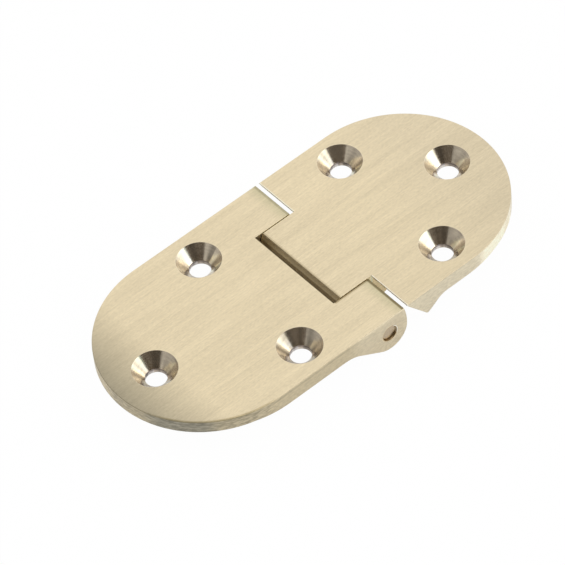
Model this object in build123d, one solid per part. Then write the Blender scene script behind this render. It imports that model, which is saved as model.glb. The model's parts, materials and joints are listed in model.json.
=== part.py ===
from build123d import *
import math
import os

# Flush hinge for a tray side that folds up: a fixed leaf with two ears, a flap leaf whose
# tongue turns between them, and a plain pin. All sizes are in millimetres and degrees.
# The hinge lies flat with both top faces level. X runs along it, from the fixed leaf to the
# flap leaf, Y runs along the pin, and Z is up. The origin is the middle of its length and
# width, at the lowest point of the knuckles.

# Plan of the leaves
WIDTH = 30.0  # across both leaves, and the diameter of their round ends
FIXED_REACH = 33.6  # pin axis to the tip of the fixed leaf's round end
FLAP_REACH = 30.0  # pin axis to the tip of the flap leaf's round end
PLATE = 2.5  # thickness of both plates
TONGUE_WIDTH = 15.7  # middle knuckle, cast in one with the flap leaf
TONGUE_SIDE_GAP = 0.12  # between the tongue and each ear

# Edges of the plates
EDGE_ROUND = 0.12  # all round both top faces
END_CHAMFER = 0.5  # lower edge of the round ends
END_CHAMFER_FADE = 1.6  # how gently that chamfer runs out towards the straight sides

# Pin and knuckles
PIN_DIAMETER = 2.4
PIN_SEAT_GAP = 0.01  # all round, where the ears hold the pin
PIN_RUN_GAP = 0.05  # all round, where the tongue turns on the pin
PIN_RECESS = 0.3  # pin end to the outer face of the ear
PIN_CHAMFER = 0.15
KNUCKLE_WALL = 1.75  # metal round the pin
KNUCKLE_COVER = 0.05  # top faces above the knuckles' round
NOSE_CROWN = 8.0  # radius of the ends of the ears and tongue, from the round up to the top

# Room for the flap leaf to fold up square
FOLD_GAP = 0.25  # between one leaf's edge and the other's top face, when folded up
EAR_GAP = 0.65  # end of each ear to the shoulder of the flap leaf
TONGUE_GAP = 1.1  # end of the tongue to the floor of the notch
SHOULDER_LAND = 0.2  # upright part of the shoulders, under the top face
SHOULDER_UNDERCUT = 38.5  # lean of the shoulders below that, from upright
BEAK_ROUND = 0.3  # lower edge of the undercut

# Swell from the knuckles to the plates, on the underside
FIXED_RAMP_SLOPE = 32.0
FIXED_RAMP_ROUND = 4.6  # hollow where the ramp meets the plate
FLAP_SWELL_RADIUS = 13.5
FLAP_SWELL_ROUND = 3.0  # hollow where the swell meets the plate

# Countersunk screw holes, two across each leaf near the pin and one near its round end
SCREW_HOLE = 3.0
SINK_DIAMETER = 6.2
SINK_ANGLE = 82.0
SCREW_SPACING = 20.5  # between the two inner holes
FIXED_INNER_SCREWS = 11.25  # pin axis to the inner holes
FLAP_INNER_SCREWS = 13.55
END_MARGIN = 6.3  # outer hole to the tip of the round end

# Worked out from the sizes above, seen from the pin axis
PIN_RADIUS = PIN_DIAMETER / 2
END_RADIUS = WIDTH / 2
KNUCKLE_RADIUS = PIN_RADIUS + KNUCKLE_WALL
TOP = KNUCKLE_RADIUS + KNUCKLE_COVER
UNDERSIDE = TOP - PLATE
SHOULDER = TOP + FOLD_GAP
EAR_REACH = SHOULDER - EAR_GAP
TONGUE_REACH = SHOULDER - TONGUE_GAP
NOTCH_WIDTH = TONGUE_WIDTH + 2 * TONGUE_SIDE_GAP
PIN_X = (FIXED_REACH - FLAP_REACH) / 2
PIN_Z = KNUCKLE_RADIUS

# Both leaves are drawn from the pin with their plate along +X. The fixed leaf is then turned
# round to point the other way.


def around(middle, radius, angle):
    """Point on a circle of the section, at an angle in degrees from the plate's direction."""
    turn = math.radians(angle)
    return middle[0] + radius * math.cos(turn), middle[1] + radius * math.sin(turn)


def arc_around(middle, radius, start, end):
    """Arc of a circle of the section between two angles in degrees."""
    return ThreePointArc(*[around(middle, radius, a) for a in (start, (start + end) / 2, end)])


def nose(reach):
    """Crown from the top edge, that far past the pin, down into the round, and where it ends."""
    inset = NOSE_CROWN - KNUCKLE_RADIUS
    edge = math.hypot(reach, TOP)
    spread = math.acos((NOSE_CROWN**2 - inset**2 - edge**2) / (2 * inset * edge))
    end = math.degrees(math.atan2(TOP, -reach) + spread)
    middle = around((0, 0), -inset, end)
    start = math.degrees(math.atan2(TOP - middle[1], -reach - middle[0]))
    return arc_around(middle, NOSE_CROWN, start, end), end


def fixed_underside():
    """Straight ramp from the ears' round up to the plate, and the angle where it starts."""
    start = FIXED_RAMP_SLOPE - 90
    foot = around((0, 0), KNUCKLE_RADIUS, start)
    run = (UNDERSIDE - foot[1]) / math.tan(math.radians(FIXED_RAMP_SLOPE))
    knee = (foot[0] + run, UNDERSIDE)
    tip = (FIXED_REACH, UNDERSIDE)
    return start, FilletPolyline(foot, knee, tip, radius=FIXED_RAMP_ROUND)


def flap_underside():
    """Full swell from the tongue's lowest point, hollowed into the plate, and its start."""
    swell = (0, FLAP_SWELL_RADIUS - KNUCKLE_RADIUS)
    hollow_z = UNDERSIDE - FLAP_SWELL_ROUND
    between = FLAP_SWELL_RADIUS + FLAP_SWELL_ROUND
    rise = math.degrees(math.acos((swell[1] - hollow_z) / between))
    hollow = (between * math.sin(math.radians(rise)), hollow_z)
    curves = arc_around(swell, FLAP_SWELL_RADIUS, -90, rise - 90)
    curves += arc_around(hollow, FLAP_SWELL_ROUND, rise + 90, 90)
    curves += Line((hollow[0], UNDERSIDE), (FLAP_REACH, UNDERSIDE))
    return -90, curves


def side_section(reach, nose_reach, underside):
    """Section of a leaf with its knuckle, across the pin."""
    swell_start, swell = underside
    crown, nose_end = nose(nose_reach)
    upper = Polyline((reach, UNDERSIDE), (reach, TOP), (-nose_reach, TOP))
    knuckle = arc_around((0, 0), KNUCKLE_RADIUS, nose_end, swell_start + 360)
    return make_face(Plane.XZ * (upper + crown + knuckle + swell))


def shoulder_section():
    """Section cut away before a shoulder, so that the other leaf's knuckle clears it."""
    low = -2 * KNUCKLE_RADIUS
    high = 2 * TOP
    land_end = TOP - SHOULDER_LAND
    out = SHOULDER + (land_end - low) * math.tan(math.radians(SHOULDER_UNDERCUT))
    corners = [(SHOULDER, high), (SHOULDER, land_end), (out, low), (-high, low), (-high, high)]
    return make_face(Plane.XZ * Polyline(*corners, close=True))


def plan_outline(reach):
    """Outline of a leaf from above: straight sides and a half-round end."""
    end_middle = reach - END_RADIUS
    past_knuckle = 2 * KNUCKLE_RADIUS
    sides = Pos((end_middle - past_knuckle) / 2) * Rectangle(end_middle + past_knuckle, WIDTH)
    return sides + Pos(end_middle) * Circle(END_RADIUS)


def end_ring(reach):
    """Ring taken off the round end's lower edge, running out along the straight sides."""
    middle = reach - END_RADIUS
    fade_middle = middle - END_CHAMFER_FADE
    height = UNDERSIDE + END_CHAMFER / 2
    ring = Pos(fade_middle + END_RADIUS, 0, height) * Box(WIDTH, 2 * WIDTH, END_CHAMFER)
    chamfer_cone = Cone(END_RADIUS - END_CHAMFER, END_RADIUS, END_CHAMFER)
    fading_cone = Cone(END_RADIUS, END_RADIUS + END_CHAMFER, END_CHAMFER)
    return ring - Pos(middle, 0, height) * chamfer_cone - Pos(fade_middle, 0, height) * fading_cone


def undercut_beaks(leaf):
    """Lower edges of the undercut shoulder faces."""
    lean = math.radians(SHOULDER_UNDERCUT)
    facing = Vector(-math.cos(lean), 0, -math.sin(lean))
    beaks = []
    for face in leaf.faces().filter_by(GeomType.PLANE):
        if (face.normal_at() - facing).length < 0.001:
            beaks.append(face.edges().filter_by(Axis.Y).sort_by(Axis.Z)[0])
    return beaks


def leaf(section, reach, cuts, inner_screws, bore_radius):
    """A leaf with its knuckles, cut clear of the other one over each (middle, width) in Y."""
    body = extrude(section, END_RADIUS, both=True)
    body &= extrude(plan_outline(reach), 2 * TOP, both=True)
    for middle, width in cuts:
        body -= Pos(0, middle) * extrude(shoulder_section(), width / 2, both=True)
    body = fillet(undercut_beaks(body), BEAK_ROUND)
    top_face = body.faces().filter_by(Axis.Z).sort_by(Axis.Z)[-1]
    body = fillet(top_face.outer_wire().edges(), EDGE_ROUND)
    body -= end_ring(reach)
    body -= Rot(X=90) * Cylinder(bore_radius, 2 * WIDTH)
    with BuildPart() as drilled:
        add(body)
        with Locations(
            (inner_screws, SCREW_SPACING / 2, TOP),
            (inner_screws, -SCREW_SPACING / 2, TOP),
            (reach - END_MARGIN, 0, TOP),
        ):
            CounterSinkHole(SCREW_HOLE / 2, SINK_DIAMETER / 2, 2 * PLATE, SINK_ANGLE)
    return drilled.part


def fixed_leaf():
    """Longer leaf, with a notch between its two ears for the flap leaf's tongue."""
    section = side_section(FIXED_REACH, EAR_REACH, fixed_underside())
    notch = [(0, NOTCH_WIDTH)]
    bore = PIN_RADIUS + PIN_SEAT_GAP
    return Rot(Z=180) * leaf(section, FIXED_REACH, notch, FIXED_INNER_SCREWS, bore)


def flap_leaf():
    """Shorter leaf, with one tongue between two undercut shoulders."""
    section = side_section(FLAP_REACH, TONGUE_REACH, flap_underside())
    middle = (TONGUE_WIDTH + WIDTH) / 2
    both_sides = [(middle, WIDTH), (-middle, WIDTH)]
    bore = PIN_RADIUS + PIN_RUN_GAP
    return leaf(section, FLAP_REACH, both_sides, FLAP_INNER_SCREWS, bore)


def hinge_pin():
    """Plain pin through both ears and the tongue, sunk a little at each end."""
    pin = Rot(X=90) * Cylinder(PIN_RADIUS, WIDTH - 2 * PIN_RECESS)
    return chamfer(pin.edges().filter_by(GeomType.CIRCLE), PIN_CHAMFER)


def main():
    os.makedirs("parts", exist_ok=True)
    pieces = {"fixed_leaf": fixed_leaf(), "flap_leaf": flap_leaf(), "hinge_pin": hinge_pin()}
    for name, piece in pieces.items():
        export_step(Pos(PIN_X, 0, PIN_Z) * piece, f"parts/{name}.step")


main()
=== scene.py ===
"""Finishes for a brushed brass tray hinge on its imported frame, with a plain studio round it."""

import json
import math

import bmesh
import bpy
from bpy.props import FloatProperty, FloatVectorProperty, PointerProperty
from mathutils import Matrix, Vector


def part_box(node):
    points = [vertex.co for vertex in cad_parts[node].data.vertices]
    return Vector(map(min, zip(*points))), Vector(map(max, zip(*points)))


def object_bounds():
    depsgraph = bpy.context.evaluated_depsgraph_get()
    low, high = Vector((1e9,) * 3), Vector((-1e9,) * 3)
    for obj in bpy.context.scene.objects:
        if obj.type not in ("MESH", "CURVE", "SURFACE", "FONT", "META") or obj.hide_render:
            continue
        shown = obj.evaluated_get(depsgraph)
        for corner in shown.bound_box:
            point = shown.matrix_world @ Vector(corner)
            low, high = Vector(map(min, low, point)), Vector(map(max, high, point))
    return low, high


bl_info = {
    "name": "Brass tray hinge",
    "version": (1, 0, 0),
    "blender": (4, 5, 0),
    "location": "3D View > Sidebar > Tray hinge",
    "description": "Dresses the packed hinge in brushed, ground and polished brass",
    "category": "Object",
}

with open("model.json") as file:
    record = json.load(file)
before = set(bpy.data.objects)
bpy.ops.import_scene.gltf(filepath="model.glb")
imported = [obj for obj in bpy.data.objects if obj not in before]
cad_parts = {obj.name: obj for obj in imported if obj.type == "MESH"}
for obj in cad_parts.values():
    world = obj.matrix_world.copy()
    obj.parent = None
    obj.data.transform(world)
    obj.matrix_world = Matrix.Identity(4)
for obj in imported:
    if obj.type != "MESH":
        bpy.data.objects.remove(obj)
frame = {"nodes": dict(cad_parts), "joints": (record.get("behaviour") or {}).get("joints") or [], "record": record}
CAD_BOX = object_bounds()

MM = 0.001

# Places on the leaves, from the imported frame: X along the hinge, Y along the pin, Z up
FIXED_LOW, FIXED_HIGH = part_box("fixed_leaf")
TOP_Z = FIXED_HIGH.z
HALF_WIDTH = FIXED_HIGH.y
ROUND_MIDDLE = FIXED_LOW.x + HALF_WIDTH
FLAP_END = CAD_BOX[1][0]
MOUNTS = {mount["name"]: mount for mount in frame["record"]["mounts"]}
PIN_AXIS = tuple(frame["joints"][0]["pos_m"])

# The same sizes as in the part's source
PLATE = 2.5 * MM
UNDERSIDE_Z = TOP_Z - PLATE
SINK_RADIUS = 3.1 * MM
HOLE_RADIUS = 1.5 * MM
PIN_BORE_RADIUS = 1.21 * MM
NOTCH_EDGE = -1.45 * MM
NOTCH_SIDE = 7.97 * MM
TONGUE_EDGE = -0.35 * MM
EAR_EDGE = 4.40 * MM
SHOULDER_EDGE = 5.05 * MM

# Sizes of the marks in the finishes
MOTTLE_SIZE = 0.55 * MM
RING_WIDTH = 0.16 * MM
STREAK_HEIGHT = 0.25 * MM
RELIEF = 0.05 * MM


def screw_places(inner, outer):
    """Middles of a leaf's three screw holes, from the record's mounts."""
    pair, single = MOUNTS[inner], MOUNTS[outer]
    reach = pair["dims"]["spacing_y_mm"] * MM / 2
    x = pair["pos_m"][0]
    return [(x, reach), (x, -reach), (single["pos_m"][0], 0.0)]


# Properties


def colour(name, description, default):
    """Property for a linear colour."""
    return FloatVectorProperty(
        name=name, description=description, default=default, subtype="COLOR", min=0.0, max=1.0
    )


def length(name, description, default):
    """Property for a length in metres."""
    return FloatProperty(
        name=name, description=description, default=default, min=0.0, precision=5,
        subtype="DISTANCE", unit="LENGTH",
    )


def share(name, description, default, top=1.0):
    """Property for a plain number from nought up."""
    return FloatProperty(name=name, description=description, default=default, min=0.0, max=top)


class HingeFinish(bpy.types.PropertyGroup):
    """Colours, grain, and painted light and shade of the two leaves."""

    face_color: colour("Top faces", "Brushed brass of the top faces", (0.765, 0.650, 0.443))
    wall_color: colour("Side walls", "Ground brass of the fixed leaf's edges", (0.62, 0.535, 0.365))
    # Painted light: the flap's walls are the same ground brass, made paler for the light on that side
    lit_flap_wall_color: colour("Flap walls", "Ground brass of the flap's edges", (0.75, 0.674, 0.507))
    cast_color: colour("Underside", "Milled brass of the undersides", (0.60, 0.51, 0.35))
    sink_color: colour("Countersinks", "Bare polished metal of the sinks", (0.73, 0.645, 0.515))
    # Painted shade: the pin's bores are darker for the shade inside them
    bore_shade_color: colour("Pin bores", "Dull metal inside the bores of the pin", (0.62, 0.48, 0.28))
    # Painted shade that darkens the fixed leaf's round end
    painted_end_shade: colour("End tint", "How the fixed leaf's round end darkens", (0.46, 0.475, 0.49))
    grain_width: length("Grain width", "Width of one brush line", 0.00016)
    grain_length: length("Grain length", "Length of one brush line", 0.0050)
    grain_depth: share("Grain depth", "Strength of the brush lines in relief", 0.10)
    grain_tone: share("Grain tone", "How much the brush lines change the colour", 0.30)
    face_roughness: share("Face roughness", "Roughness of the brushed faces", 0.34)
    wall_roughness: share("Wall roughness", "Roughness of the ground walls", 0.42)
    sink_roughness: share("Sink roughness", "Roughness of the countersinks", 0.20)


class PinFinish(bpy.types.PropertyGroup):
    """Colour and grain of the pin."""

    end_color: colour("Pin", "Drawn brass rod", (0.56, 0.46, 0.33))
    roughness: share("Roughness", "Roughness of the rod", 0.32)
    mark_width: length("Mark width", "Width of the marks on its cut ends", 0.00016)
    mark_depth: share("Mark depth", "Strength of those marks in relief", 0.15)


class StudioSettings(bpy.types.PropertyGroup):
    """Floor, light and the dark side of the room."""

    floor_color: colour("Floor", "Plain pale floor", (0.92, 0.92, 0.92))
    room_light: share("Room light", "Strength of the even light from all round", 0.95, 3.0)
    side_light: share("Side light", "Strength of the soft lamp at the right", 0.33, 5.0)
    over_light: share("Over light", "Strength of the soft lamp overhead", 2.0, 5.0)
    dark_color: colour("Dark side", "Unlit room behind the camera", (0.086, 0.070, 0.055))
    dim_color: colour("Dim side", "Half-lit room at the left", (0.44, 0.43, 0.415))


# Node helpers


class Nodes:
    """Short ways to add and join the nodes of one tree."""

    def __init__(self, tree):
        self.tree = tree

    def add(self, kind, values=None, **settings):
        """New node with its settings and its input values or links."""
        node = self.tree.nodes.new(kind)
        for key, value in settings.items():
            setattr(node, key, value)
        for key, value in (values or {}).items():
            self.feed(node.inputs[key], value)
        return node

    def feed(self, socket, value):
        """Links a socket, or sets its value."""
        if isinstance(value, bpy.types.NodeSocket):
            self.tree.links.new(value, socket)
        else:
            socket.default_value = value

    def math(self, operation, *values):
        """Result of a Math node."""
        values = dict(enumerate(values))
        return self.add("ShaderNodeMath", values, operation=operation).outputs[0]

    def vector(self, operation, *values, output=0):
        """Result of a Vector Math node."""
        values = dict(enumerate(values))
        return self.add("ShaderNodeVectorMath", values, operation=operation).outputs[output]

    def ramp(self, value, low, high, start=0.0, end=1.0, kind="SMOOTHSTEP"):
        """Step from start to end as a value goes from low to high."""
        inputs = {"Value": value, 1: low, 2: high, 3: start, 4: end}
        return self.add("ShaderNodeMapRange", inputs, interpolation_type=kind).outputs[0]

    def fade(self, value, edge, none, full):
        """Mask that is 0 and 1 at two distances past an edge, in millimetres."""
        return self.ramp(value, edge + none * MM, edge + full * MM)

    def product(self, first, *others):
        """Masks or tones multiplied."""
        for other in others:
            first = self.math("MULTIPLY", first, other)
        return first

    def parts(self, vector):
        """X, Y and Z of a vector."""
        return self.add("ShaderNodeSeparateXYZ", {0: vector}).outputs

    def reach(self, vector, azimuth, elevation=0):
        """How far a vector goes towards an azimuth and an elevation."""
        return self.vector("DOT_PRODUCT", vector, tuple(toward(azimuth, elevation)), output=1)

    def noise(self, place, detail):
        """Noise from 0 to 1 at a place."""
        values = {"Vector": place, "Scale": 1.0, "Detail": detail}
        return self.add("ShaderNodeTexNoise", values).outputs[0]

    def relief(self, strength, height):
        """Normal of a surface with small marks in relief."""
        values = {"Strength": strength, "Distance": RELIEF, "Height": height}
        return self.add("ShaderNodeBump", values).outputs[0]

    def scale(self, vector, factor):
        """Vector or colour times a number."""
        node = self.add("ShaderNodeVectorMath", {0: vector, "Scale": factor}, operation="SCALE")
        return node.outputs[0]

    def blend(self, factor, first, second):
        """Colour between two colours."""
        node = self.add("ShaderNodeMix", {"Factor": factor}, data_type="RGBA")
        self.feed(node.inputs[6], first)
        self.feed(node.inputs[7], second)
        return node.outputs[2]

    def mix(self, factor, first, second):
        """Number between two numbers."""
        node = self.add("ShaderNodeMix", {"Factor": factor}, data_type="FLOAT")
        self.feed(node.inputs[2], first)
        self.feed(node.inputs[3], second)
        return node.outputs[0]

    def group(self, tree, values):
        """A shared node group with its values."""
        return self.add("ShaderNodeGroup", values, node_tree=tree)


def new_group(name, inputs, outputs):
    """Empty node group with named sockets, its Nodes helper, its inputs and its output node."""
    tree = bpy.data.node_groups.new(name, "ShaderNodeTree")
    for label, kind, default in inputs:
        socket = tree.interface.new_socket(name=label, in_out="INPUT", socket_type=kind)
        if default is not None:
            socket.default_value = default
    for label, kind in outputs:
        tree.interface.new_socket(name=label, in_out="OUTPUT", socket_type=kind)
    nodes = Nodes(tree)
    return tree, nodes, nodes.add("NodeGroupInput").outputs, nodes.add("NodeGroupOutput").inputs


def cleared(owner):
    """Nodes helper of a material or world whose tree is emptied."""
    owner.use_nodes = True
    owner.node_tree.nodes.clear()
    return Nodes(owner.node_tree)


def rgba(values):
    """Opaque colour from a colour property."""
    return (*values, 1.0)


def toward(azimuth, elevation):
    """Unit direction at an azimuth from +X towards +Y and an elevation, in degrees."""
    turn, rise = math.radians(azimuth), math.radians(elevation)
    flat = math.cos(rise)
    return Vector((flat * math.cos(turn), flat * math.sin(turn), math.sin(rise)))


# Shared effects


# Layers of the brush grain: length and width as parts of one brush line, detail, share of the tone
GRAIN_LAYERS = {
    "fine": (1.0, 1.0, 2.0, 0.75),
    "middling": (2.2, 3.2, 1.0, 0.48),
    "broad": (4.0, 12.0, 0.0, 0.35),
    "short": (0.10, 1.0, 1.0, 0.95),
}


def grain_group():
    """Fine scratches along one direction, as tone from 0 to 1 and as height."""
    floats = [("Length", "NodeSocketFloat", 0.004), ("Width", "NodeSocketFloat", 0.0003)]
    tree, nodes, given, out = new_group(
        "Brush grain",
        [("Vector", "NodeSocketVector", None), *floats],
        [("Tone", "NodeSocketFloat"), ("Height", "NodeSocketFloat")],
    )

    def lines(longer, wider, detail):
        """Noise drawn out along X."""
        along = nodes.math("DIVIDE", 1.0 / longer, given["Length"])
        across = nodes.math("DIVIDE", 1.0 / wider, given["Width"])
        scale = nodes.add("ShaderNodeCombineXYZ", {"X": along, "Y": across, "Z": across})
        place = nodes.vector("MULTIPLY", given["Vector"], scale.outputs[0])
        values = {"Vector": place, "Scale": 1.0, "Detail": detail, "Roughness": 0.6}
        return nodes.add("ShaderNodeTexNoise", values).outputs[0]

    layers, tone = {}, 0.5
    for name, (longer, wider, detail, part) in GRAIN_LAYERS.items():
        layers[name] = lines(longer, wider, detail)
        tone = nodes.math("MULTIPLY_ADD", nodes.math("SUBTRACT", layers[name], 0.5), part, tone)
    nodes.feed(out["Tone"], nodes.ramp(tone, 0.0, 1.0, kind="LINEAR"))
    nodes.feed(out["Height"], nodes.math("MULTIPLY_ADD", layers["short"], 0.3, layers["fine"]))
    return tree


def mottle_group():
    """Uneven patches and short marks of a ground surface."""
    tree, nodes, given, out = new_group(
        "Ground mottle",
        [("Vector", "NodeSocketVector", None), ("Size", "NodeSocketFloat", 0.0005)],
        [("Tone", "NodeSocketFloat"), ("Height", "NodeSocketFloat")],
    )
    scale = nodes.math("DIVIDE", 1.0, given["Size"])
    patches = nodes.vector("MULTIPLY", nodes.scale(given["Vector"], scale), (1.0, 1.0, 2.4))
    noise = nodes.noise(patches, 3.0)
    nodes.feed(out["Tone"], nodes.ramp(noise, 0.3, 0.7))
    nodes.feed(out["Height"], noise)
    return tree


def hole_group():
    """Distance from the upright axis of a screw hole."""
    tree, nodes, given, out = new_group(
        "Hole distance",
        [
            ("Vector", "NodeSocketVector", None),
            ("Middle X", "NodeSocketFloat", 0.0),
            ("Middle Y", "NodeSocketFloat", 0.0),
        ],
        [("Distance", "NodeSocketFloat")],
    )
    middle = nodes.add(
        "ShaderNodeCombineXYZ", {"X": given["Middle X"], "Y": given["Middle Y"]}
    ).outputs[0]
    off = nodes.vector("SUBTRACT", given["Vector"], middle)
    flat = nodes.vector("MULTIPLY", off, (1.0, 1.0, 0.0))
    nodes.feed(out["Distance"], nodes.vector("LENGTH", flat, output=1))
    return tree


MAKERS = {"grain": grain_group, "mottle": mottle_group, "hole": hole_group}
GROUPS = {}


def shared(name):
    """A shared node group, built the first time it is asked for."""
    if name not in GROUPS:
        GROUPS[name] = MAKERS[name]()
    return GROUPS[name]


# Materials


def new_material(name):
    """Material with an empty tree, its Nodes helper, its shader and the object coordinates."""
    material = bpy.data.materials.new(name)
    nodes = cleared(material)
    shader = nodes.add("ShaderNodeBsdfPrincipled", {"Metallic": 1.0})
    output = nodes.add("ShaderNodeOutputMaterial", {"Surface": shader.outputs[0]})
    output.is_active_output = True
    return material, nodes, shader, nodes.add("ShaderNodeTexCoord").outputs


def tinted(nodes, base, mask, tint):
    """Colour times a tint where a mask is 1."""
    change = tuple(channel - 1.0 for channel in tint)
    return nodes.vector(
        "MULTIPLY", base, nodes.vector("MULTIPLY_ADD", mask, change, (1.0, 1.0, 1.0))
    )


# Painted shades and painted highlights of the fixed leaf, as factors of the brass under them
EAR_SHADE = (0.80, 0.84, 0.80)
EAR_LINE = (0.74, 0.74, 0.72)
NEAR_EAR_LINE = (0.54, 0.49, 0.41)
NEAR_SIDE_LINE = (0.60, 0.56, 0.48)
NOTCH_LINE = (0.09, 0.07, 0.035)
END_LINE = (0.70, 0.68, 0.60)
RIM_LINE = (0.66, 0.64, 0.56)
END_WALL = (0.78, 0.79, 0.81)
END_WALL_MIDDLE = (0.66, 0.70, 0.78)
EAR_WALL = (1.13, 1.15, 1.22)
EAR_TIP = (1.02, 1.03, 1.04)


def fixed_top(nodes, top, spot):
    """Fixed leaf's top with painted shade: dark round end, dark lines along the notch, ears' ends and rim."""
    x, y, _ = nodes.parts(spot)
    across = nodes.math("ABSOLUTE", y)
    # Painted shade that darkens the round end
    low, high = FIXED_LOW.x - 0.3 * MM, FIXED_LOW.x + 8.3 * MM
    round_end = nodes.ramp(x, low, high, 1.0, 0.0, "LINEAR")
    top = tinted(nodes, top, round_end, bpy.context.scene.hinge_finish.painted_end_shade)

    # Painted shade on the ears, and painted shade lines along their ends and the notch's near side
    top = tinted(nodes, top, nodes.fade(x, EAR_EDGE, -2.2, 0.0), EAR_SHADE)
    ear_line = nodes.fade(x, EAR_EDGE, -0.48, -0.26)
    top = tinted(nodes, top, ear_line, EAR_LINE)
    near_half = nodes.fade(y, -NOTCH_SIDE, 0.97, -0.03)
    top = tinted(nodes, top, nodes.product(ear_line, near_half), NEAR_EAR_LINE)
    near_side = nodes.fade(y, -NOTCH_SIDE, -0.36, -0.16)
    past_notch = nodes.fade(x, NOTCH_EDGE, -0.1, 0.1)
    top = tinted(nodes, top, nodes.product(near_side, near_half, past_notch), NEAR_SIDE_LINE)

    # Painted shadow line along the notch's edge
    in_notch = nodes.fade(across, NOTCH_SIDE, 0.02, -0.02)
    notch_line = nodes.fade(x, NOTCH_EDGE, -0.26, -0.14)
    top = tinted(nodes, top, nodes.product(notch_line, in_notch), NOTCH_LINE)

    # Painted shade line along the lower left of the round end's rim
    off_middle = nodes.vector("SUBTRACT", spot, (ROUND_MIDDLE, 0.0, 0.0))
    off_middle = nodes.vector("MULTIPLY", off_middle, (1.0, 1.0, 0.0))
    radius = nodes.vector("LENGTH", off_middle, output=1)
    lower_left = nodes.ramp(nodes.reach(nodes.vector("NORMALIZE", off_middle), 235), 0.80, 0.92)
    end_line = nodes.product(nodes.fade(radius, HALF_WIDTH, -0.30, -0.12), lower_left)
    return tinted(nodes, top, end_line, END_LINE)


def fixed_wall(nodes, wall, spot, normal):
    """Fixed leaf's sides: painted shade on the round end with rough streaks, painted light on the ears, painted
    shade and highlight lines at the top edge.
    """
    x, y, z = nodes.parts(spot)
    across = nodes.math("ABSOLUTE", y)
    on_end = nodes.fade(x, ROUND_MIDDLE, 2.8, -3.2)
    # Painted shade: a line under the rim of the round end, and darker walls where they face the lower left
    rim = nodes.ramp(nodes.reach(normal, 222), 0.74, 0.92)
    rim = nodes.product(rim, nodes.fade(z, TOP_Z, -0.26, -0.12), on_end)
    wall = tinted(nodes, wall, rim, RIM_LINE)
    lower_left = nodes.reach(normal, 217)
    wall = tinted(nodes, wall, nodes.ramp(lower_left, 0.62, 0.80), END_WALL)
    wall = tinted(nodes, wall, nodes.ramp(lower_left, 0.93, 0.985), END_WALL_MIDDLE)

    level = nodes.add("ShaderNodeCombineXYZ", {"Z": nodes.math("DIVIDE", z, STREAK_HEIGHT)})
    streaks = nodes.vector("ADD", level.outputs[0], nodes.scale(normal, 16.0))
    streaks = nodes.ramp(nodes.noise(streaks, 2.0), 0.32, 0.68, 0.76, 1.20)
    wall = nodes.scale(wall, nodes.mix(on_end, 1.0, streaks))

    # Painted light on the ears' walls and their tips
    on_ears = nodes.fade(x, NOTCH_EDGE, -4.55, -0.55)
    wall = tinted(nodes, wall, on_ears, EAR_WALL)
    wall = tinted(nodes, wall, nodes.fade(x, EAR_EDGE, -0.35, -0.15), EAR_TIP)
    # Painted light and shade in the gaps beside the tongue: darker along the notch, lighter past the tongue's nose
    sideways = nodes.ramp(nodes.math("ABSOLUTE", nodes.parts(normal)["Y"]), 0.5, 0.8)
    inner = nodes.product(nodes.fade(across, NOTCH_SIDE, 0.3, 0.1), sideways)
    corner = nodes.mix(nodes.fade(x, TONGUE_EDGE, -0.1, 0.1), 0.85, 1.7)
    wall = nodes.scale(wall, nodes.mix(inner, 1.0, corner))

    # Painted shade line along the plate under the top edge, which turns to painted light along the ears, and a
    # painted highlight at the edge itself
    outer = nodes.product(on_ears, sideways, nodes.fade(across, NOTCH_SIDE, 1.0, 2.0))
    line = nodes.mix(nodes.fade(z, TOP_Z, -0.65, -0.48), 1.0, nodes.mix(outer, 0.85, 1.08))
    edge = nodes.mix(nodes.fade(z, TOP_Z, -0.38, -0.14), 1.0, 1.22)
    return nodes.scale(wall, nodes.product(line, edge))


# Painted shades and painted highlights of the flap leaf, as factors of the brass under them
FLAP_END_TOP = (0.93, 0.935, 0.955)
NOSE_LINE = (0.74, 0.72, 0.68)
SHOULDER_LINE = (1.35, 1.45, 1.75)
BRIGHT_SIDE = (1.40, 1.45, 1.54)
FLAP_END_WALL = (0.88, 0.86, 0.82)
FLAP_END_WALL_MIDDLE = (1.29, 1.35, 1.52)
TONGUE_SIDE = (1.40, 1.26, 1.08)
NOSE = (1.62, 1.66, 1.74)
NOSE_DEEP = (0.22, 0.18, 0.13)


def on_shoulders(nodes, spot):
    """Mask of the flap's shoulder edges, on both sides of the tongue, where a painted highlight goes."""
    x, y, _ = nodes.parts(spot)
    across = nodes.math("ABSOLUTE", y)
    return nodes.product(
        nodes.fade(x, SHOULDER_EDGE, -0.20, -0.10),
        nodes.fade(x, SHOULDER_EDGE, 0.16, 0.10),
        nodes.fade(across, NOTCH_SIDE, -0.16, -0.08),
    )


def flap_top(nodes, top, spot):
    """Flap leaf's top with painted light and shade: slightly darker near side and round end, dark nose line, pale
    shoulders.
    """
    x, y, _ = nodes.parts(spot)
    # Painted shade: slightly darker towards the near side and the round end, a dark line along the nose, and a
    # painted highlight on the shoulders
    reach = HALF_WIDTH - 2.0 * MM
    top = nodes.scale(top, nodes.ramp(y, -reach, reach, 0.965, 1.03, "LINEAR"))
    top = tinted(nodes, top, nodes.fade(x, FLAP_END, -19.8, -3.8), FLAP_END_TOP)
    top = tinted(nodes, top, nodes.fade(x, TONGUE_EDGE, 0.35, 0.05), NOSE_LINE)
    return tinted(nodes, top, on_shoulders(nodes, spot), SHOULDER_LINE)


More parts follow.
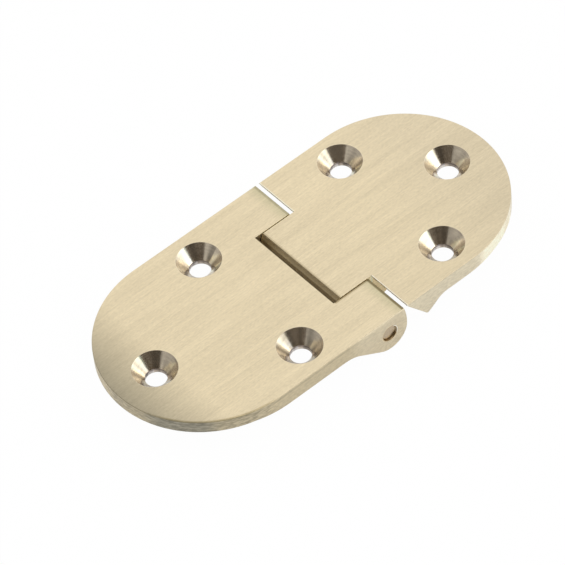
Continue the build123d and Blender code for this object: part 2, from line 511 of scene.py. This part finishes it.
def flap_wall(nodes, wall, spot, normal):
    """Flap leaf's sides with painted light and shade: bright side of the round end, bright tongue sides, nose dark
    low down.
    """
    x, y, z = nodes.parts(spot)
    across = nodes.math("ABSOLUTE", y)
    # Painted light where the walls face the lamp at the right, with painted shade beside it
    wall = tinted(nodes, wall, nodes.ramp(nodes.reach(normal, -69), 0.94, 0.978), BRIGHT_SIDE)
    right = nodes.reach(normal, -40)
    wall = tinted(nodes, wall, nodes.ramp(right, 0.88, 0.97), FLAP_END_WALL)
    wall = tinted(nodes, wall, nodes.ramp(right, 0.955, 0.985), FLAP_END_WALL_MIDDLE)
    # Painted shade just under the top edge, and the shoulders' painted highlight
    wall = nodes.scale(wall, nodes.mix(nodes.fade(z, TOP_Z, -0.38, -0.20), 1.0, 0.95))
    wall = tinted(nodes, wall, on_shoulders(nodes, spot), SHOULDER_LINE)

    # Painted light on the tongue's sides and nose in the gaps, and painted shade low down on the nose
    tongue_side = nodes.product(
        nodes.fade(across, NOTCH_SIDE, -0.40, -0.20),
        nodes.fade(across, NOTCH_SIDE, 0.0, -0.06),
        nodes.fade(x, SHOULDER_EDGE, 4.0, 3.0),
    )
    wall = tinted(nodes, wall, tongue_side, TONGUE_SIDE)
    nose = nodes.fade(x, TONGUE_EDGE, 0.3, 0.1)
    wall = tinted(nodes, wall, nose, NOSE)
    deep = nodes.fade(z, TOP_Z, -0.65, -0.95)
    return tinted(nodes, wall, nodes.product(nose, deep), NOSE_DEEP)


# Painted reflections on the sides of the countersinks that are lighter or darker than the rest: the azimuth they
# face, how squarely they face it where the tone starts and is full, and the tone at the rim and at the hole
SINK_SIDES = (
    (106, 0.64, 0.71, 1.40, 1.30),
    (-10, 0.66, 0.73, 1.05, 1.50),
    (-40, 0.71, 0.745, 0.95, 0.78),
    (172, 0.64, 0.72, 0.97, 0.61),
)
# Painted highlight: the bright wedge of each countersink
BRIGHT_WEDGE = (1.26, 1.27, 1.22)
BRIGHT_WEDGE_INNER = (0.88, 0.94, 1.10)
# Painted light on the hole walls, and painted shade in their upper part
HOLE_WALL = (1.12, 1.13, 1.27)
HOLE_MOUTH = (0.50, 0.47, 0.46)

# Brass at the right of the pin's bore, where the light reaches it
BORE_LIGHT = (1.0, 0.97, 0.88, 1.0)


def hole_distance(nodes, spot, screws):
    """Distance from the axis of the nearest screw hole."""
    near = None
    for x, y in screws:
        values = {"Vector": spot, "Middle X": x, "Middle Y": y}
        away = nodes.group(shared("hole"), values).outputs[0]
        near = away if near is None else nodes.math("MINIMUM", near, away)
    return near


def sink_metal(nodes, spot, normal, near, in_bore):
    """Polished colour of countersinks and holes with painted reflections and shade, and the height of the cutter's
    rings.
    """
    around = nodes.vector("ADD", nodes.scale(normal, 2.6), nodes.scale(spot, 55.0))
    level = nodes.add("ShaderNodeCombineXYZ", {"X": nodes.math("DIVIDE", near, RING_WIDTH)})
    rings = nodes.noise(nodes.vector("ADD", level.outputs[0], around), 1.0)
    streaks = nodes.math("MULTIPLY", nodes.noise(around, 1.0), 1.6)
    cut = nodes.math("MULTIPLY_ADD", rings, 0.4, streaks)
    cut = nodes.ramp(cut, 0.70, 1.30, 0.62, 1.36, "LINEAR")
    sink = nodes.scale(tuple(bpy.context.scene.hinge_finish.sink_color), cut)

    inward = nodes.fade(near, HOLE_RADIUS, 1.2, 0.1)
    # Painted reflections: sides lighter or darker by the way they face
    for azimuth, low, high, at_rim, at_hole in SINK_SIDES:
        side = nodes.ramp(nodes.reach(normal, azimuth), low, high)
        sink = nodes.scale(sink, nodes.mix(side, 1.0, nodes.mix(inward, at_rim, at_hole)))
    wedge = nodes.ramp(nodes.reach(normal, -70), 0.66, 0.71)
    sink = tinted(nodes, sink, wedge, BRIGHT_WEDGE)
    sink = tinted(nodes, sink, nodes.product(wedge, inward), BRIGHT_WEDGE_INNER)

    sink = tinted(nodes, sink, in_bore, HOLE_WALL)
    mouth = nodes.fade(nodes.parts(spot)["Z"], UNDERSIDE_Z, 0.3, 0.5)
    return tinted(nodes, sink, nodes.product(in_bore, mouth), HOLE_MOUTH), rings


def leaf_metal(name, screws, wall_color, shade_top, shade_wall):
    """Brass of a leaf: brushed on top, ground at the sides and polished in the countersinks."""
    finish = bpy.context.scene.hinge_finish
    material, nodes, shader, place = new_material(name)
    spot, normal = place["Object"], place["Normal"]
    z, upward = nodes.parts(spot)["Z"], nodes.parts(normal)["Z"]

    # Where each finish lies
    near = hole_distance(nodes, spot, screws)
    above = nodes.fade(z, UNDERSIDE_Z, 0.01, 0.05)
    in_sink = nodes.product(nodes.fade(near, SINK_RADIUS, 0.04, -0.02), above)
    in_bore = nodes.fade(near, HOLE_RADIUS, 0.05, 0.01)
    on_top = nodes.ramp(upward, 0.15, 0.55)
    below = nodes.ramp(upward, -0.6, -0.9)
    section = nodes.vector("MULTIPLY", nodes.vector("SUBTRACT", spot, PIN_AXIS), (1.0, 0.0, 1.0))
    from_pin = nodes.vector("LENGTH", section, output=1)
    in_pin_bore = nodes.fade(from_pin, PIN_BORE_RADIUS, 0.11, 0.05)

    # Brushed top, ground walls and milled underside, with the leaf's painted light and shade
    values = {"Vector": spot, "Length": finish.grain_length, "Width": finish.grain_width}
    grain = nodes.group(shared("grain"), values).outputs
    tone = nodes.mix(grain["Tone"], 1.0 - finish.grain_tone / 2, 1.0 + finish.grain_tone / 2)
    top = shade_top(nodes, nodes.scale(tuple(finish.face_color), tone), spot)
    mottle = nodes.group(shared("mottle"), {"Vector": spot, "Size": MOTTLE_SIZE}).outputs
    ground = nodes.mix(mottle["Tone"], 0.91, 1.08)
    wall = shade_wall(nodes, nodes.scale(tuple(wall_color), ground), spot, normal)
    milled = nodes.product(ground, nodes.mix(grain["Tone"], 0.88, 1.12))
    underside = nodes.scale(tuple(finish.cast_color), milled)

    # Countersinks, holes and the bore of the pin, whose painted shade turns to painted light at its right
    sink, rings = sink_metal(nodes, spot, normal, near, in_bore)
    right = nodes.fade(nodes.reach(section, 0, 15), 0.0, 0.75, 1.05)
    bore = nodes.blend(right, rgba(finish.bore_shade_color), BORE_LIGHT)

    color = nodes.blend(below, wall, underside)
    color = nodes.blend(on_top, color, top)
    color = nodes.blend(in_sink, color, sink)
    nodes.feed(shader.inputs["Base Color"], nodes.blend(in_pin_bore, color, bore))

    brushed = nodes.mix(grain["Tone"], finish.face_roughness + 0.03, finish.face_roughness - 0.03)
    rough = nodes.mix(on_top, finish.wall_roughness, brushed)
    polished = nodes.mix(in_bore, finish.sink_roughness, 0.3)
    nodes.feed(shader.inputs["Roughness"], nodes.mix(in_sink, rough, polished))

    height = nodes.mix(on_top, mottle["Height"], grain["Height"])
    height = nodes.mix(in_sink, height, nodes.math("MULTIPLY", rings, 0.25))
    nodes.feed(shader.inputs["Normal"], nodes.relief(finish.grain_depth, height))
    return material


def pin_metal():
    """Plain drawn rod with the marks of the saw on its ends, and painted shade low down and at the top."""
    finish = bpy.context.scene.pin_finish
    material, nodes, shader, place = new_material("Drawn pin brass")
    values = {"Vector": place["Object"], "Size": finish.mark_width}
    marks = nodes.group(shared("mottle"), values).outputs
    # Painted shade on the rod: dark low down and at the top
    low = nodes.reach(nodes.vector("SUBTRACT", place["Object"], PIN_AXIS), 0, -64)
    tone = nodes.product(
        nodes.mix(marks["Tone"], 0.88, 1.1),
        nodes.mix(nodes.fade(low, 0.0, 0.60, 1.00), 1.0, 0.40),
        nodes.mix(nodes.fade(low, 0.0, -0.95, -0.35), 0.78, 1.0),
    )
    nodes.feed(shader.inputs["Base Color"], nodes.scale(tuple(finish.end_color), tone))
    nodes.feed(shader.inputs["Roughness"], nodes.mix(marks["Tone"], 0.36, finish.roughness))
    nodes.feed(shader.inputs["Normal"], nodes.relief(finish.mark_depth, marks["Height"]))
    return material


def dress(node, material):
    """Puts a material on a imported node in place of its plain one."""
    piece = frame["nodes"][node]
    if not piece.material_slots:
        raise RuntimeError(f"{node} has no material slot")
    for slot in piece.material_slots:
        slot.link = "OBJECT"
        slot.material = material


# Studio

# Panels that only reflections see: first and last azimuth, lowest and highest elevation
DARK_SPAN = (-165, -66, 19, 48)
DIM_SPAN = (110, 195, 2, 46)
PANEL_DISTANCE = 0.45

# Soft lamps: azimuth, elevation, distance, width and height
SIDE_LAMP = (-40, 16, 0.5, 0.40, 0.22)
OVER_LAMP = (-80, 67, 0.7, 0.26, 0.26)

FLOOR_RADIUS = 1.6
FLOOR_WHITE, FLOOR_MIRRORED = 0.98, 0.3

# Camera fitted to the photograph: its place, the rows of its rotation and its focal length
CAMERA_PLACE = (-0.225642, -0.315826, 0.454184)
CAMERA_AXES = (
    (0.756916, 0.535332, -0.374829),
    (-0.648359, 0.543267, -0.533378),
    (-0.081902, 0.646746, 0.758295),
)
CAMERA_LENS = 286.726


def staged(name, mesh_of):
    """Stage object whose mesh a function fills in."""
    mesh = bpy.data.meshes.new(name)
    shape = bmesh.new()
    mesh_of(shape)
    shape.to_mesh(mesh)
    shape.free()
    piece = bpy.data.objects.new(name, mesh)
    bpy.context.scene.collection.objects.link(piece)
    return piece


def room_side(name, panel_color, start, end, low, high):
    """Curved panel round the hinge that only reflections see, between azimuths and elevations."""

    def panel(shape):
        """Upright arc of points, turned about the vertical."""
        count = 8
        rises = [low + (high - low) * k / count for k in range(count + 1)]
        verts = [shape.verts.new(toward(start, rise) * PANEL_DISTANCE) for rise in rises]
        edges = [shape.edges.new(pair) for pair in zip(verts, verts[1:])]
        bmesh.ops.spin(
            shape, geom=verts + edges, cent=(0, 0, 0), axis=(0, 0, 1), dvec=(0, 0, 0),
            angle=math.radians(end - start), steps=24, use_merge=False, use_duplicate=False,
        )

    piece = staged(name, panel)
    material = bpy.data.materials.new(name)
    nodes = cleared(material)
    glow = nodes.add("ShaderNodeEmission", {"Color": rgba(panel_color), "Strength": 1.0})
    nodes.add("ShaderNodeOutputMaterial", {"Surface": glow.outputs[0]})
    piece.data.materials.append(material)
    piece.visible_camera = piece.visible_diffuse = piece.visible_shadow = False


def soft_lamp(name, radiance, azimuth, elevation, distance, width, height):
    """Rectangular lamp that faces the hinge, with the same brightness at any size."""
    data = bpy.data.lights.new(name, "AREA")
    data.shape = "RECTANGLE"
    data.size, data.size_y = width, height
    data.energy = radiance * math.pi * width * height
    lamp = bpy.data.objects.new(name, data)
    lamp.location = toward(azimuth, elevation) * distance
    lamp.rotation_euler = (-lamp.location).to_track_quat("-Z", "Y").to_euler()
    lamp.visible_camera = False
    bpy.context.scene.collection.objects.link(lamp)


def seen_white(nodes, direct, mirrored):
    """Share of plain white ground that camera rays see, and that mirror and glass rays see."""
    path = nodes.add("ShaderNodeLightPath").outputs
    mirror = nodes.math("MAXIMUM", path["Is Glossy Ray"], path["Is Transmission Ray"])
    seen = nodes.math("MULTIPLY", path["Is Camera Ray"], direct)
    return nodes.math("MAXIMUM", seen, nodes.math("MULTIPLY", mirror, mirrored))


def make_floor(floor_color):
    """Round pale floor that stays white and keeps a faint shadow."""

    def disc(shape):
        """Flat disc under the hinge."""
        bmesh.ops.create_circle(shape, cap_ends=True, segments=96, radius=FLOOR_RADIUS)

    piece = staged("Floor", disc)
    material = bpy.data.materials.new("Pale floor")
    nodes = cleared(material)
    seen = seen_white(nodes, FLOOR_WHITE, FLOOR_MIRRORED)
    lit = nodes.add("ShaderNodeBsdfDiffuse", {"Color": rgba(floor_color)})
    white = nodes.add("ShaderNodeEmission", {"Color": (1, 1, 1, 1), "Strength": 1.0})
    mixed = nodes.add("ShaderNodeMixShader", {0: seen, 1: lit.outputs[0], 2: white.outputs[0]})
    nodes.add("ShaderNodeOutputMaterial", {"Surface": mixed.outputs[0]})
    piece.data.materials.append(material)


def make_world(level):
    """Even light from all round, in front of a white ground."""
    world = bpy.data.worlds.new("Studio")
    nodes = cleared(world)
    seen = seen_white(nodes, 1.0, 1.0)
    light = nodes.add("ShaderNodeBackground", {"Color": (1, 1, 1, 1), "Strength": level})
    white = nodes.add("ShaderNodeBackground", {"Color": (1, 1, 1, 1), "Strength": 1.0})
    mixed = nodes.add("ShaderNodeMixShader", {0: seen, 1: light.outputs[0], 2: white.outputs[0]})
    nodes.add("ShaderNodeOutputWorld", {"Surface": mixed.outputs[0]})
    bpy.context.scene.world = world


def make_camera():
    """Camera at the photograph's angle."""
    data = bpy.data.cameras.new("Camera")
    data.sensor_width = 36.0
    data.lens = CAMERA_LENS
    data.clip_start, data.clip_end = 0.01, 20.0
    camera = bpy.data.objects.new("Camera", data)
    camera.matrix_world = Matrix.Translation(CAMERA_PLACE) @ Matrix(CAMERA_AXES).to_4x4()
    bpy.context.scene.collection.objects.link(camera)
    bpy.context.scene.camera = camera


# Operators


class DressFixedLeaf(bpy.types.Operator):
    """Give the fixed leaf its brushed, ground and polished brass"""

    bl_idname = "tray_hinge.dress_fixed_leaf"
    bl_label = "Dress fixed leaf"

    def execute(self, context):
        screws = screw_places("fixed_inner_screws", "fixed_outer_screw")
        wall = context.scene.hinge_finish.wall_color
        metal = leaf_metal("Fixed leaf brass", screws, wall, fixed_top, fixed_wall)
        dress("fixed_leaf", metal)
        return {"FINISHED"}


class DressFlapLeaf(bpy.types.Operator):
    """Give the flap leaf its brushed, ground and polished brass"""

    bl_idname = "tray_hinge.dress_flap_leaf"
    bl_label = "Dress flap leaf"

    def execute(self, context):
        screws = screw_places("flap_inner_screws", "flap_outer_screw")
        # Painted light: the flap's walls take the paler, lit copy of the wall brass
        wall = context.scene.hinge_finish.lit_flap_wall_color
        metal = leaf_metal("Flap leaf brass", screws, wall, flap_top, flap_wall)
        dress("flap_leaf", metal)
        return {"FINISHED"}


class DressPin(bpy.types.Operator):
    """Give the pin its drawn brass"""

    bl_idname = "tray_hinge.dress_pin"
    bl_label = "Dress pin"

    def execute(self, context):
        dress("hinge_pin", pin_metal())
        return {"FINISHED"}


class SetStudio(bpy.types.Operator):
    """Set up the floor, the soft light and the camera"""

    bl_idname = "tray_hinge.set_studio"
    bl_label = "Set up studio"

    def execute(self, context):
        studio = context.scene.hinge_studio
        make_floor(studio.floor_color)
        make_world(studio.room_light)
        room_side("Dark side", studio.dark_color, *DARK_SPAN)
        room_side("Dim side", studio.dim_color, *DIM_SPAN)
        soft_lamp("Side lamp", studio.side_light, *SIDE_LAMP)
        soft_lamp("Over lamp", studio.over_light, *OVER_LAMP)
        make_camera()
        context.scene.view_settings.view_transform = "Standard"
        return {"FINISHED"}


class TrayHingePanel(bpy.types.Panel):
    """Steps and settings of the hinge"""

    bl_idname = "VIEW3D_PT_tray_hinge"
    bl_label = "Brass tray hinge"
    bl_space_type = "VIEW_3D"
    bl_region_type = "UI"
    bl_category = "Tray hinge"

    def draw(self, context):
        layout = self.layout
        for step in STEPS:
            layout.operator(step.bl_idname)
        for settings in SETTINGS:
            box = layout.box()
            owner = getattr(context.scene, settings)
            for name in owner.bl_rna.properties.keys():
                if name not in {"rna_type", "name"}:
                    box.prop(owner, name)


STEPS = (DressFixedLeaf, DressFlapLeaf, DressPin, SetStudio)
SETTINGS = {"hinge_finish": HingeFinish, "pin_finish": PinFinish, "hinge_studio": StudioSettings}


def register():
    for kind in (*SETTINGS.values(), *STEPS, TrayHingePanel):
        bpy.utils.register_class(kind)
    for name, kind in SETTINGS.items():
        setattr(bpy.types.Scene, name, PointerProperty(type=kind))


def unregister():
    for name in SETTINGS:
        delattr(bpy.types.Scene, name)
    for kind in reversed((*SETTINGS.values(), *STEPS, TrayHingePanel)):
        bpy.utils.unregister_class(kind)


def main():
    register()
    for step in STEPS:
        group, name = step.bl_idname.split(".")
        getattr(getattr(bpy.ops, group), name)()


if __name__ == "__main__":
    main()
